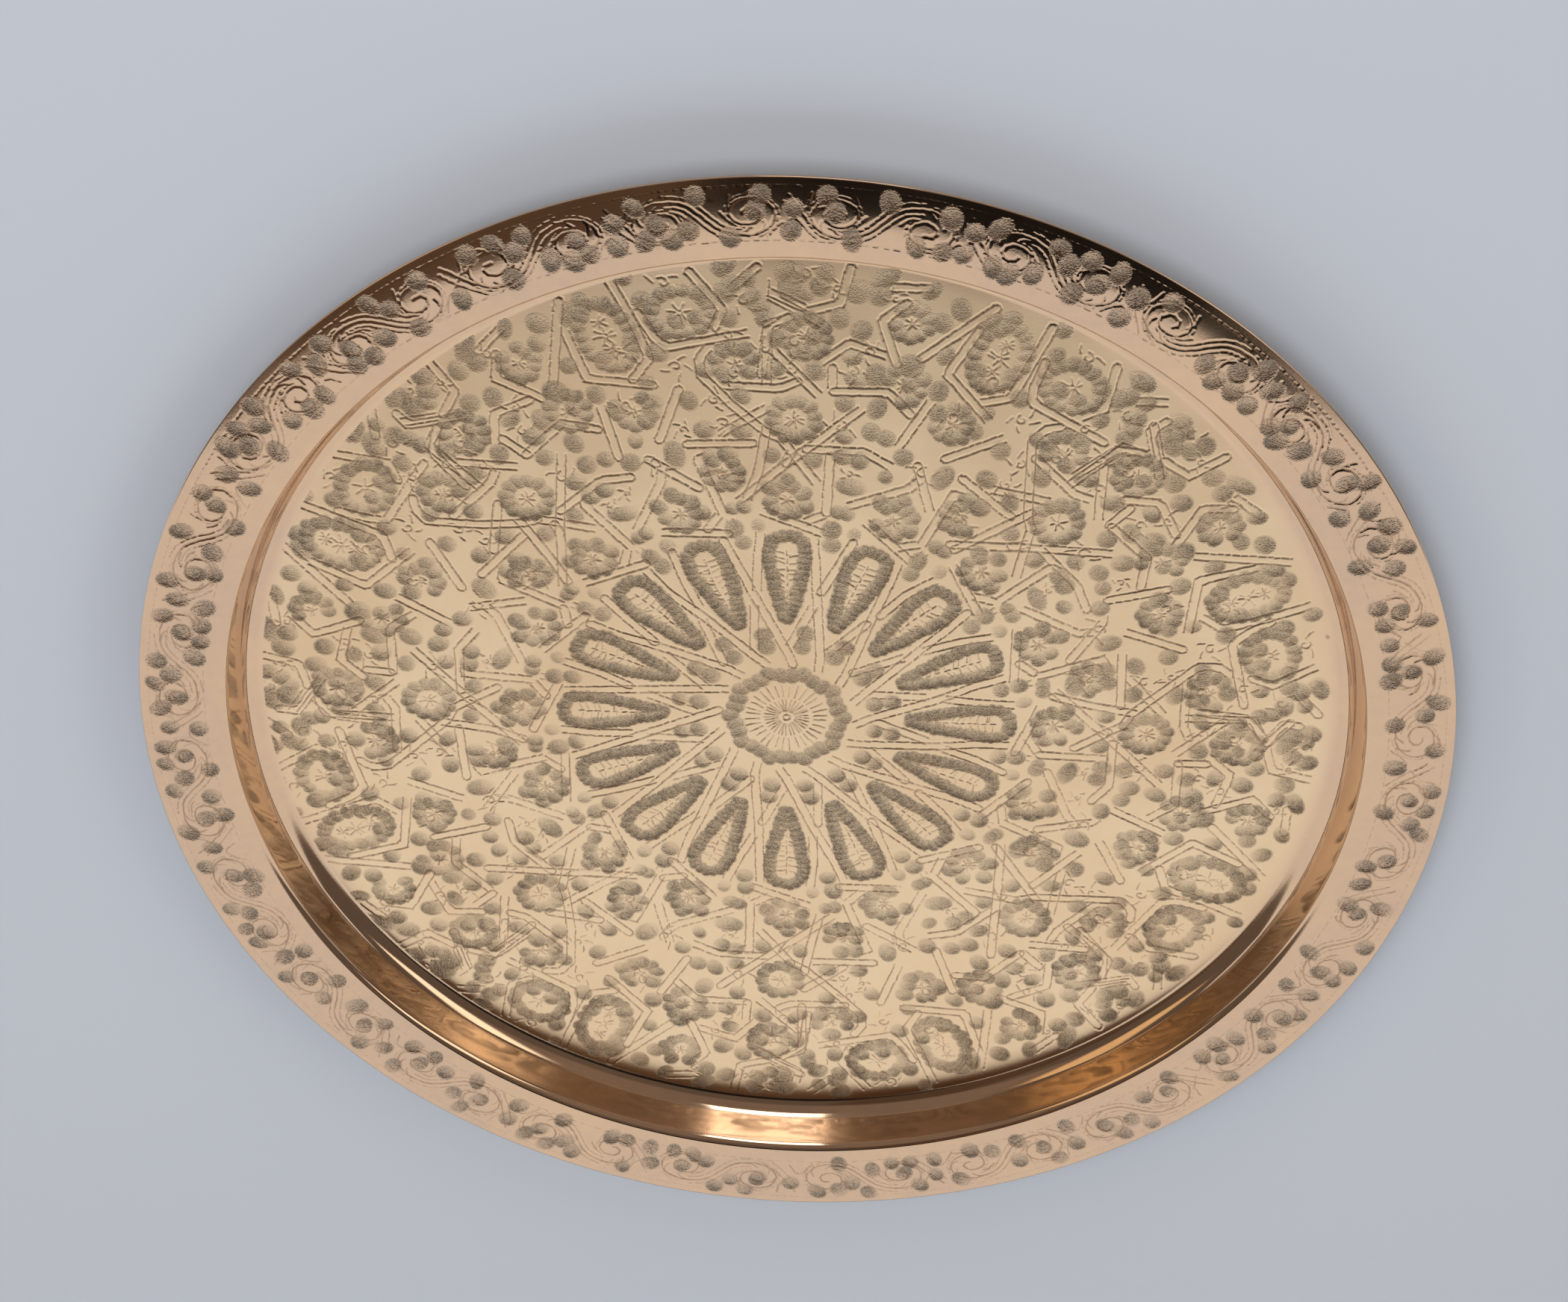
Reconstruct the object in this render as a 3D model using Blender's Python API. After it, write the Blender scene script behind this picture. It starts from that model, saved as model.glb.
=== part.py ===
"""Round chased copper tray: one sheet of metal, pressed and spun to shape.

Units are metres and +Z is up. The origin is the middle of the underside, on
the surface that the tray stands on. The top face of the sheet is drawn as a
radial section, from the floor out to the rim: flat floor, hollow cove, steep
wall, rounded shoulder, and a border that is slightly crowned. The underside
follows the top face at the thickness of the sheet.
"""
import math

import bmesh
import bpy
from mathutils import Vector

RIM_RADIUS = 0.190                   # outer edge of the border
SHEET_THICKNESS = 0.0009
FLOOR_RADIUS = 0.1565                # where the floor begins to turn up
WELL_DEPTH = 0.0141                  # from the border's inner edge down to the floor
COVE_RADIUS = 0.0060                 # hollow turn between floor and wall
SHOULDER_RADIUS = 0.0024             # rounded turn between wall and border
WALL_ANGLE = math.radians(74.0)      # of the wall, above the floor
CROWN_ANGLE = math.radians(3.5)      # of the border at its inner edge, above level

RIM_SEGMENTS = 96
COVE_STEPS = 6
SHOULDER_STEPS = 5
BORDER_STEPS = 4
FLOOR_RINGS = (0.060, 0.115)         # extra rings, which keep the facets short

COPPER = (0.80, 0.56, 0.42, 1.0)
COPPER_ROUGHNESS = 0.28


def clear_scene():
    """Remove every object that the new file starts with."""
    for scene_object in list(bpy.data.objects):
        bpy.data.objects.remove(scene_object, do_unlink=True)


def slope_direction(angle):
    """Unit vector along the sheet, outwards, where it rises at this angle."""
    return Vector((math.cos(angle), math.sin(angle)))


def slope_normal(angle):
    """Unit vector out of the top face, where the sheet rises at this angle."""
    return Vector((-math.sin(angle), math.cos(angle)))


def turn(start, radius, first_angle, last_angle, steps):
    """Arc of the section from one rise angle to another, with its angles.

    The rise angle grows along a hollow turn and shrinks along a rounded one,
    so the arc's centre lies above the sheet or below it.
    """
    side = 1.0 if last_angle > first_angle else -1.0
    centre = start + side * radius * slope_normal(first_angle)
    points = []
    for step in range(steps + 1):
        angle = first_angle + (last_angle - first_angle) * step / steps
        points.append((centre - side * radius * slope_normal(angle), angle))
    return points


def top_section():
    """Points of the top face with their rise angles, floor's edge to rim."""
    cove = turn(Vector((FLOOR_RADIUS, SHEET_THICKNESS)), COVE_RADIUS, 0.0, WALL_ANGLE, COVE_STEPS)

    cove_rise = COVE_RADIUS * (1.0 - math.cos(WALL_ANGLE))
    shoulder_rise = SHOULDER_RADIUS * (math.cos(CROWN_ANGLE) - math.cos(WALL_ANGLE))
    wall_rise = WELL_DEPTH - cove_rise - shoulder_rise
    wall_top = cove[-1][0] + slope_direction(WALL_ANGLE) * wall_rise / math.sin(WALL_ANGLE)
    shoulder = turn(wall_top, SHOULDER_RADIUS, WALL_ANGLE, CROWN_ANGLE, SHOULDER_STEPS)

    border_start = shoulder[-1][0]
    border_width = RIM_RADIUS - border_start.x
    crown_radius = border_width / (2.0 * math.sin(CROWN_ANGLE))
    border = turn(border_start, crown_radius, CROWN_ANGLE, -CROWN_ANGLE, BORDER_STEPS)
    return cove + shoulder + border[1:]


def section(offset):
    """Section of one face: 0 is the top face, the thickness is the underside."""
    points = [point - offset * slope_normal(angle) for point, angle in top_section()]
    points[-1].x = RIM_RADIUS
    return points


def add_ring(mesh, radius, height):
    """One ring of vertices round the Z axis."""
    ring = []
    for segment in range(RIM_SEGMENTS):
        angle = 2 * math.pi * segment / RIM_SEGMENTS
        ring.append(mesh.verts.new((radius * math.cos(angle), radius * math.sin(angle), height)))
    return ring


def join_rings(mesh, first, second):
    """Faces between two rings; they face up where the second ring is the outer one."""
    for segment in range(RIM_SEGMENTS):
        following = (segment + 1) % RIM_SEGMENTS
        mesh.faces.new((first[segment], second[segment], second[following], first[following]))


def join_middle(mesh, middle, ring):
    """Faces from the middle of the floor to its first ring, facing up."""
    for segment in range(RIM_SEGMENTS):
        following = (segment + 1) % RIM_SEGMENTS
        mesh.faces.new((middle, ring[segment], ring[following]))


def build_face(mesh, offset, floor_height):
    """One face of the sheet, facing up; returns its outermost ring."""
    middle = mesh.verts.new((0.0, 0.0, floor_height))
    rings = [add_ring(mesh, radius, floor_height) for radius in FLOOR_RINGS]
    rings += [add_ring(mesh, point.x, point.y) for point in section(offset)]
    join_middle(mesh, middle, rings[0])
    for first, second in zip(rings, rings[1:]):
        join_rings(mesh, first, second)
    return rings[-1]


def copper_material():
    """Polished warm copper alloy."""
    material = bpy.data.materials.new("copper")
    material.use_nodes = True
    shader = material.node_tree.nodes["Principled BSDF"]
    shader.inputs["Base Color"].default_value = COPPER
    shader.inputs["Metallic"].default_value = 1.0
    shader.inputs["Roughness"].default_value = COPPER_ROUGHNESS
    return material


def build_tray_sheet():
    """The whole tray: floor, cove, wall, shoulder and border in one closed sheet."""
    mesh = bmesh.new()
    bottom_rim = build_face(mesh, SHEET_THICKNESS, 0.0)
    bmesh.ops.reverse_faces(mesh, faces=list(mesh.faces))
    top_rim = build_face(mesh, 0.0, SHEET_THICKNESS)
    join_rings(mesh, top_rim, bottom_rim)

    data = bpy.data.meshes.new("tray_sheet")
    mesh.to_mesh(data)
    mesh.free()
    data.shade_smooth()
    data.set_sharp_from_angle(angle=math.radians(35.0))
    data.materials.append(copper_material())
    tray = bpy.data.objects.new("tray_sheet", data)
    bpy.context.scene.collection.objects.link(tray)


clear_scene()
build_tray_sheet()
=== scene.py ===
"""Looks of the round chased copper tray.

The visual model is one closed sheet with the tool marks cut into its mesh. The
marks are first struck on a raster, blow by blow, and the mesh then takes its
height, matting and line values from there. Ornament places and sizes are shares
of the rim radius; everything else is in metres. Angles in the ornament are in
degrees, and the floor's pattern repeats by rotation.
"""

import math
import random

import bpy
import numpy as np
from mathutils import Matrix, Vector


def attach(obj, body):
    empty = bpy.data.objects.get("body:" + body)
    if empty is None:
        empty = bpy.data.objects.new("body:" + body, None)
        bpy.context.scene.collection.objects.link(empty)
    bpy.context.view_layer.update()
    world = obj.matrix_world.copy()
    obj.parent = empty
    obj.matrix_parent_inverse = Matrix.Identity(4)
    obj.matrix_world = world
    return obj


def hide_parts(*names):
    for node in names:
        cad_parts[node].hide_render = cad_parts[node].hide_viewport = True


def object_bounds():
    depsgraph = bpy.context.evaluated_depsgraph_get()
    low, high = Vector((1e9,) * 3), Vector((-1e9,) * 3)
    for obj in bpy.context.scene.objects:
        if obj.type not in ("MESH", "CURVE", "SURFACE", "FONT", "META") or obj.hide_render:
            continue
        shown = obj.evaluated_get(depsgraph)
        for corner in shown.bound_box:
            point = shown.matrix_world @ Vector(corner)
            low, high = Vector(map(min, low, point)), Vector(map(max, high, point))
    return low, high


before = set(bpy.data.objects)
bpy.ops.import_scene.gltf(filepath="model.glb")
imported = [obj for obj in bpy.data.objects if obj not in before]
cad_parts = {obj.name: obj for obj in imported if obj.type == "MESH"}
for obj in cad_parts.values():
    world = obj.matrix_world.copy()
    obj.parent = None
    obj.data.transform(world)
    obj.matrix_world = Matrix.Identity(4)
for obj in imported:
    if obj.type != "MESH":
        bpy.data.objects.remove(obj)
cad_low, cad_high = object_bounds()

# Section of the sheet, as the CAD has it.
RIM_RADIUS = cad_high.x
FLOOR_RADIUS = 0.1565
WELL_DEPTH = 0.0141
COVE_RADIUS = 0.0060
SHOULDER_RADIUS = 0.0024
WALL_ANGLE = math.radians(74.0)
CROWN_ANGLE = math.radians(3.5)
SHEET_THICKNESS = 0.0009

# Mesh of the sheet.
RING_GAP = 0.00033  # between rings where there is ornament
TURN_GAP = 0.00030  # between rings on the cove and the shoulder
WALL_GAP = 0.0008
RIM_SEGMENTS = 3072
UNDER_SEGMENTS = 384
UNDER_GAP = 0.0030
UNDER_EDGE = 0.0004  # no ring of the underside is nearer to the cut edge
UNDER_MIDDLE = 0.020  # inside this radius the underside's rings lose vertices
UNDER_FEWEST = 48
TOP_FEWEST = 12
COVE_START = 0.0005  # first stretch of the cove, which still rises little
RASTER_CELL = 0.000125

# Ornament, in shares of the rim radius. A line's width is its profile's standard deviation.
SPOKES = 16
REPEATS = 8  # the outer pattern lies on every second spoke
PATTERN_SHIFT = (0.0124, 0.0)  # the centre mark was struck a little off centre
ORNAMENT_EDGE = 0.824  # no mark on the floor reaches past this
BORDER_EDGE = 0.885  # and none on the border reaches inside this
RIM_MARGIN = 0.996  # marks fade out just before the cut edge
RIM_FADE = 0.004
STRAP_WIDTH = 0.0132
LINE_DEPTH = 0.00010  # metres
LINE_WIDTH = 0.00092
LEAF_WIDTH = 0.0010
FINE_WIDTH = 0.0009
HAIR_WIDTH = 0.0008
PUNCH_DEPTH = 0.00034  # metres
BORDER_LINE_WIDTH = 0.00112
BORDER_DEPTH_SHARE = 0.85  # marks on the border are struck more lightly
LIP_SHARE = 0.30  # metal raised beside a cut, as a share of its depth
LIP_CELLS = 3  # and how far it spreads, in cells of the raster
WAVES = 9
WAVE_HEIGHT = 0.00012  # metres

RNG = random.Random(16)


# ---- tool marks

RASTER_SIDE = 2.04
PUNCH_REACH = 0.80  # half side of the patch that a punch may change, in its lengths
PUNCH_MEAN = 0.66  # depth at a punch's middle, as a share of its strength
MATTING_END = 1.28  # squared distance of the matting's edge from the middle, in half lengths
MATTING_FADE = 0.62


class Relief:
    """Square raster of the marks, seen from above; lengths are in shares of the rim radius."""

    def __init__(self, radius):
        cell = RASTER_CELL * 1.0
        self.cell = cell / radius
        self.count = int(RASTER_SIDE / self.cell)
        shape = (self.count, self.count)
        self.cut = np.zeros(shape, np.float32)
        self.dent = np.zeros(shape, np.float32)
        self.matting = np.zeros(shape, np.float32)

    def span(self, at, reach):
        """Cells near a place along one axis, and how far each is from it."""
        middle = self.count / 2.0
        first = max(int((at - reach) / self.cell + middle), 0)
        last = min(int((at + reach) / self.cell + middle) + 2, self.count)
        return slice(first, last), (np.arange(first, last, dtype=np.float32) - middle) * self.cell - at

    def window(self, x, y, reach):
        """Slices of the cells near a point, with their offsets from it."""
        columns, across = self.span(x, reach)
        rows, along = self.span(y, reach)
        return (rows, columns), across[None, :], along[:, None]

    def blow(self, start, end, width, strength):
        """One blow of a liner: a short straight cut with soft ends."""
        x = (start[0] + end[0]) / 2.0
        y = (start[1] + end[1]) / 2.0
        length = math.hypot(end[0] - start[0], end[1] - start[1])
        if length < 1e-6:
            return
        cosine = (end[0] - start[0]) / length
        sine = (end[1] - start[1]) / length
        place, across, along = self.window(x, y, length / 2.0 + 3.0 * width)
        forward = across * cosine + along * sine
        sideways = along * cosine - across * sine
        past = np.maximum(np.abs(forward) - length / 2.0, 0.0)
        value = strength * np.exp(-(past * past + sideways * sideways) / (2.0 * width * width))
        self.cut[place] = np.maximum(self.cut[place], value)

    def punch(self, centre, length, breadth, degrees, strength, lean):
        """One blow of a matting punch: an oval dent, deeper and more matted on one side."""
        angle = math.radians(degrees)
        cosine = math.cos(angle)
        sine = math.sin(angle)
        place, across, along = self.window(centre[0], centre[1], max(length, breadth) * PUNCH_REACH)
        forward = (across * cosine + along * sine) / (length / 2.0)
        sideways = (along * cosine - across * sine) / (breadth / 2.0)
        reach = forward * forward + sideways * sideways
        side = np.clip(PUNCH_MEAN + lean * forward, 0.0, 1.0)
        dent = strength * side * np.clip(1.0 - reach, 0.0, 1.0)
        self.dent[place] = np.maximum(self.dent[place], dent)
        edge = np.clip((MATTING_END - reach) / MATTING_FADE, 0.0, 1.0)
        matting = strength * side * edge * edge * (3.0 - 2.0 * edge)
        self.matting[place] = np.maximum(self.matting[place], matting)


def polar(radius, degrees):
    """Point at a distance and an angle from the centre."""
    angle = math.radians(degrees)
    return (radius * math.cos(angle), radius * math.sin(angle))


def turned(point, degrees):
    """A point turned round the centre."""
    cosine = math.cos(math.radians(degrees))
    sine = math.sin(math.radians(degrees))
    return (point[0] * cosine - point[1] * sine, point[0] * sine + point[1] * cosine)


def moved(point, shift):
    """A point moved by a shift."""
    return (point[0] + shift[0], point[1] + shift[1])


def shaken(point, spread):
    """A point with the small random shift of hand work."""
    return (point[0] + RNG.gauss(0.0, spread), point[1] + RNG.gauss(0.0, spread))


def placed(path, degrees):
    """A path of the floor's pattern, turned to its place."""
    return [moved(turned(point, degrees), PATTERN_SHIFT) for point in path]


def distance(first, second):
    """Distance between two points."""
    return math.hypot(second[0] - first[0], second[1] - first[1])


def path_lengths(path):
    """Distance from a path's start to each of its points."""
    lengths = [0.0]
    for first, second in zip(path, path[1:]):
        lengths.append(lengths[-1] + distance(first, second))
    return lengths


def point_at(path, lengths, at):
    """Place on a path, by the distance from its start."""
    x = float(np.interp(at, lengths, [point[0] for point in path]))
    y = float(np.interp(at, lengths, [point[1] for point in path]))
    return (x, y)


def offset_path(path, gap):
    """The path moved sideways by a gap, with mitred corners."""
    normals = []
    for first, second in zip(path, path[1:]):
        length = max(distance(first, second), 1e-9)
        normals.append((-(second[1] - first[1]) / length, (second[0] - first[0]) / length))
    result = []
    for index, point in enumerate(path):
        before = normals[max(index - 1, 0)]
        after = normals[min(index, len(normals) - 1)]
        x = before[0] + after[0]
        y = before[1] + after[1]
        scale = gap / max((x * x + y * y) / 2.0, 0.5)
        result.append((point[0] + x * scale, point[1] + y * scale))
    return result


def curve_path(points, steps):
    """Smooth path through a few points."""
    ends = [points[0], *points, points[-1]]
    path = []
    for near in zip(ends, ends[1:], ends[2:], ends[3:]):
        for step in range(steps):
            t = step / steps
            spot = []
            for a, b, c, d in zip(*near):
                square = (2.0 * a - 5.0 * b + 4.0 * c - d) * t * t
                cube = (3.0 * b - a - 3.0 * c + d) * t * t * t
                spot.append(0.5 * (2.0 * b + (c - a) * t + square + cube))
            path.append(tuple(spot))
    path.append(tuple(points[-1]))
    return path


def arc_path(centre, radius, first, last, steps):
    """Circular arc between two angles."""
    path = []
    for step in range(steps + 1):
        path.append(moved(polar(radius, first + (last - first) * step / steps), centre))
    return path


def spiral_path(centre, outer, inner, first, turns, steps):
    """Spiral from its outer end inwards; negative turns wind clockwise."""
    path = []
    for step in range(steps + 1):
        share = step / steps
        radius = outer + (inner - outer) * share**0.85
        path.append(moved(polar(radius, first + 360.0 * turns * share), centre))
    return path


SHORTEST_LINE = 0.002
LAST_DASH = 0.0008  # no dash starts nearer to a line's end
LINE_WOBBLE = 0.0004


def chase(relief, path, dash=0.0115, gap=-0.002, strength=1.0, width=LINE_WIDTH):
    """A line struck with a liner, dash after dash; dashes with a negative gap overlap."""
    lengths = path_lengths(path)
    total = lengths[-1]
    if total < SHORTEST_LINE:
        return
    at = 0.0
    while at < total - LAST_DASH:
        stop = min(at + dash * RNG.uniform(0.8, 1.25), total)
        start = shaken(point_at(path, lengths, at), LINE_WOBBLE)
        end = shaken(point_at(path, lengths, stop), LINE_WOBBLE)
        relief.blow(start, end, width * RNG.uniform(0.88, 1.12), strength * RNG.uniform(0.7, 1.1))
        if stop >= total:
            return
        at = stop + gap * RNG.uniform(0.6, 1.4)


def soft_punch(relief, centre, length, breadth, degrees, strength):
    """A matting punch with the small differences of hand work."""
    relief.punch(
        shaken(centre, 0.0012),
        length * RNG.uniform(1.02, 1.25),
        breadth * RNG.uniform(1.02, 1.22),
        degrees + RNG.gauss(0.0, 9.0),
        strength * RNG.uniform(0.78, 1.08),
        0.45 * RNG.uniform(0.7, 1.3),
    )


# ---- floor pattern

ROSETTE_DASHES = 32
ROSETTE_LOBES = 10
ROSETTE_RADIUS = 0.087  # of the matted ring, at the middle of a lobe
LOBE_BULGE = 0.006
LOBE_BLOW = 0.34  # from one blow to the next, as a share of a lobe


def centre_rosette(relief):
    """Ring, radial dashes and the lobed matted ring in the middle of the floor."""
    chase(relief, placed(arc_path((0.0, 0.0), 0.0055, 0.0, 360.0, 12), 0.0), 0.004, -0.001)
    for index in range(ROSETTE_DASHES):
        degrees = index * 360.0 / ROSETTE_DASHES
        inner = placed([(0.013, 0.0), (0.035, 0.0)], degrees + RNG.gauss(0.0, 1.0))
        chase(relief, inner, 0.012, 0.001, 0.8, FINE_WIDTH)
        reach = RNG.uniform(0.060, 0.067)
        outer = placed([(0.041, 0.0), (reach, 0.0)], degrees + 5.6 + RNG.gauss(0.0, 1.0))
        chase(relief, outer, 0.012, 0.001, 0.8, FINE_WIDTH)
    for lobe in range(ROSETTE_LOBES):
        for blow in (-LOBE_BLOW, 0.0, LOBE_BLOW):
            degrees = (lobe + blow) * 360.0 / ROSETTE_LOBES
            bulge = ROSETTE_RADIUS - LOBE_BULGE * abs(blow) / LOBE_BLOW
            centre = placed([(bulge, 0.0)], degrees)[0]
            direction = degrees + 90.0 * RNG.random()
            relief.punch(centre, 0.030, 0.026, direction, RNG.uniform(0.85, 1.0), 0.12)


# Half outline of a petal, from its tip: distance along the spoke and half width.
PETAL_HALF = (
    (0.186, 0.0),
    (0.215, 0.010),
    (0.262, 0.0205),
    (0.305, 0.027),
    (0.328, 0.02511),
    (0.341, 0.01674),
    (0.3455, 0.0),
)
PETAL_BLOW = 0.0098  # from one blow to the next round a petal
VEIN_PAIRS = 9


def petal(relief, degrees):
    """One petal: a matted band of overlapping punches round a veined leaf."""
    half = curve_path(PETAL_HALF, 5)
    outline = half + [(x, -y) for x, y in reversed(half[:-1])]
    lengths = path_lengths(outline)
    count = int(lengths[-1] / PETAL_BLOW)
    for index in range(count):
        at = lengths[-1] * (index + 0.5) / count
        spot = point_at(outline, lengths, at)
        ahead = point_at(outline, lengths, at + 0.004)
        direction = math.degrees(math.atan2(ahead[1] - spot[1], ahead[0] - spot[0]))
        relief.punch(
            shaken(placed([spot], degrees)[0], 0.0008),
            RNG.uniform(0.0215, 0.0245),
            RNG.uniform(0.0180, 0.0205),
            direction + degrees + 90.0,
            RNG.uniform(1.10, 1.35),
            0.14,
        )
    vein = [(RNG.uniform(0.215, 0.222), 0.0), (0.27, RNG.gauss(0.0, 0.002)), (0.322, 0.0)]
    chase(relief, placed(vein, degrees), 0.007, 0.006, 0.85)
    for index in range(VEIN_PAIRS):
        for side in (-1, 1):
            x = 0.232 + 0.0105 * index + RNG.gauss(0.0, 0.0022)
            spread = RNG.uniform(0.5, 1.0) * (0.0080 + 0.0011 * index)
            lean = RNG.uniform(-0.001, 0.006)
            leaf = [(x, side * RNG.uniform(0.002, 0.005)), (x + lean, side * (0.004 + spread))]
            chase(relief, placed(leaf, degrees), 0.009, 0.001, RNG.uniform(0.5, 1.0), HAIR_WIDTH)
    chase(relief, placed([(0.262, -0.016), (0.268, -0.011)], degrees), 0.006, 0.0, 0.8)


def strap(relief, path, degrees, dashed, caps):
    """Two parallel lines along a path, with the chances that a line is dashed and an end is round."""
    half = STRAP_WIDTH / 2.0
    spots = [shaken(spot, 0.0016) for spot in placed(path, degrees)]
    for side in (-1, 1):
        edge = offset_path(spots, side * half)
        if RNG.random() < dashed:
            chase(relief, edge, 0.0085, 0.0030)
        else:
            chase(relief, edge)
    for end, inward in ((spots[0], spots[1]), (spots[-1], spots[-2])):
        if RNG.random() > caps:
            continue
        heading = math.degrees(math.atan2(end[1] - inward[1], end[0] - inward[0]))
        chase(relief, arc_path(end, half, heading - 90.0, heading + 90.0, 8), 0.006, -0.001, 0.9)


# Places and sizes in the tables from here to SPRIGS are in thousandths of the rim radius;
# strengths are shares of a full blow.
THOUSANDTHS = 1000.0

# Straps that repeat on all sixteen spokes: polar points, radius and degrees.
SPOKE_STRAPS = (
    ((105, -5), (128, 0), (234, 11.25), (300, 14.3), (345, 15.7)),
    ((140, 20.8), (221, 12.6)),
    ((247, 10.4), (300, 8.2), (352, 6.3)),
    ((357, 13.8), (393, 28.1)),
    ((374, 18.4), (393, 14.7)),
    ((394, 14.1), (496, 15.3), (500, 13.5)),
    ((416, 9.8), (475, 0.3), (496, -0.8)),
    ((448, -5.4), (518, 0.7)),
)

# Straps that repeat on every second spoke: plain points.
OUTER_STRAPS = (
    ((475, 3), (576, -107)),
    ((508, 145), (511, 46)),
    ((503, -30), (502, -114), (477, -151)),
    ((410, 58), (460, 45), (540, 30)),
    ((518, 6), (530, 29), (572, 73), (627, 125), (655, 127), (672, 113)),
    ((523, 96), (575, 28)),
    ((609, 95), (609, 10), (620, -15)),
    ((607, -67), (608, -148), (567, -179)),
    ((602, -44), (670, 18)),
    ((615, 27.5), (715, 27), (730, -5)),
    ((512, 185), (599, 156)),
    ((479, 246), (566, 272)),
    ((605, 190), (615, 290), (699, 316)),
    ((607, 334), (745, 325)),
    ((618, 220), (655, 198), (720, 225), (780, 247)),
    ((700, 55), (672, 173), (691, 191), (730, 213)),
    ((706, 106), (738, 93), (800, 137)),
    ((718, -50), (763, 20), (790, 18)),
    ((575, 350), (610, 420), (655, 417)),
    ((476.5, 385), (504.5, 413)),
    ((545, 503), (585, 479), (637, 512)),
    ((529, 560), (541, 510)),
    ((500, 603), (546, 603)),
    ((657, 447), (695, 412)),
    ((420, 472), (478, 518), (525, 513)),
    ((495, 427), (548, 426), (575, 370)),
)

# Punches on all sixteen spokes: radius, degrees, length, breadth, direction, strength.
SPOKE_PUNCHES = (
    (139, 12.6, 27, 26, 0, 0.85),
    (164, 12.6, 27, 26, 0, 0.85),
    (335, 11.2, 26, 25, 0, 0.75),
    (362, 12.1, 30, 26, 0, 0.85),
    (365, 6.6, 24, 20, 0, 0.4),
    (399, 9.3, 24, 22, 90, 0.8),
    (399, 11.2, 24, 22, 90, 0.75),
    (431, 3.5, 26, 24, 40, 0.85),
    (445, 0, 26, 24, 0, 0.85),
    (403, -4.2, 26, 22, 200, 0.85),
    (424, -3.2, 24, 22, 300, 0.65),
    (392, 1.6, 24, 20, 120, 0.6),
    (446.5, 10.4, 40, 26, 85, 0.85),
    (496, 10.2, 27, 27, 90, 0.9),
    (497, 12.7, 28, 27, 100, 0.8),
)

# Punches on every second spoke: place, length, breadth, direction, strength.
OUTER_PUNCHES = (
    (467, 228, 28, 27, 30, 0.85),
    (484, 163, 40, 28, 10, 0.8),
    (489, 21, 26, 24, 0, 0.8),
    (481, -38, 26, 24, 330, 0.7),
    (528, 65, 30, 24, 60, 0.85),
    (531, 118, 30, 26, 100, 0.9),
    (578, 140, 28, 25, 20, 0.8),
    (592, 66, 30, 26, 45, 0.85),
    (556, 247, 30, 26, 45, 0.85),
    (542, 205, 26, 24, 120, 0.8),
    (558, 197, 26, 24, 90, 0.7),
    (576, 192, 26, 24, 60, 0.8),
    (462.5, 292, 30, 26, 60, 0.8),
    (473, 267, 26, 24, 80, 0.75),
    (500, 314, 32, 26, 20, 0.85),
    (430, 311, 28, 24, 130, 0.75),
    (472, 356, 28, 26, 40, 0.8),
    (368, 314, 26, 24, 40, 0.7),
    (634, 116, 28, 24, 100, 0.85),
    (628, 90, 26, 24, 90, 0.75),
    (632, 55, 28, 24, 80, 0.85),
    (633, 24, 24, 22, 90, 0.6),
    (585, 276, 30, 26, 30, 0.85),
    (610, 202, 24, 22, 0, 0.6),
    (645, 261, 30, 26, 20, 0.85),
    (661, 186, 30, 26, 60, 0.85),
    (678, 225.5, 28, 24, 10, 0.8),
    (674, 75, 30, 26, 80, 0.85),
    (720, 81, 28, 24, 0, 0.85),
    (710, 159, 28, 24, 45, 0.8),
    (718, 127, 28, 24, 20, 0.8),
    (690, 16, 30, 26, 0, 0.8),
    (670, -22, 30, 26, 330, 0.85),
    (693, -41, 28, 24, 0, 0.8),
    (634, -36, 28, 24, 300, 0.8),
    (774, -8, 40, 32, 0, 0.95),
    (799, -17, 26, 22, 0, 0.8),
    (764, 89, 30, 26, 20, 0.85),
    (758, 119, 28, 24, 40, 0.8),
    (742, 37.5, 28, 26, 0, 0.8),
    (747, 205, 30, 26, 20, 0.85),
    (634, 313, 28, 24, 30, 0.8),
    (804, 94, 26, 22, 10, 0.85),
    (785, 232, 28, 22, 20, 0.85),
    (790, 56, 26, 22, 5, 0.8),
    (692, 405, 32, 21, 350, 0.95),
    (508, 637, 38, 26, 330, 0.95),
    (490, 610, 34, 28, 0, 0.8),
    (500, 575, 34, 28, 330, 0.8),
    (490, 535, 28, 26, 90, 0.85),
    (566, 568, 36, 28, 0, 0.85),
    (552, 548, 26, 24, 60, 0.6),
    (562, 524, 30, 26, 100, 0.8),
    (584, 518, 30, 26, 90, 0.8),
    (606, 528, 30, 28, 60, 0.95),
    (440, 461, 28, 22, 10, 0.9),
    (565, 461, 30, 28, 60, 0.7),
    (620, 474, 30, 34, 90, 0.75),
    (634, 446, 30, 28, 40, 0.85),
    (660, 464, 46, 25, 340, 0.95),
    (480, 420, 30, 26, 80, 0.75),
    (576, 426, 32, 28, 10, 0.9),
    (536, 404, 30, 24, 300, 0.85),
    (668, 358, 28, 26, 90, 0.8),
    (704, 355, 32, 28, 60, 0.85),
    (586, 336, 34, 32, 50, 1),
    (560, 310, 26, 24, 50, 0.7),
    (720, 311, 38, 24, 0, 0.9),
    (744, 292, 28, 26, 20, 0.75),
    (510, 370, 30, 26, 100, 0.75),
    (538, 354, 36, 28, 20, 0.8),
)

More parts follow.
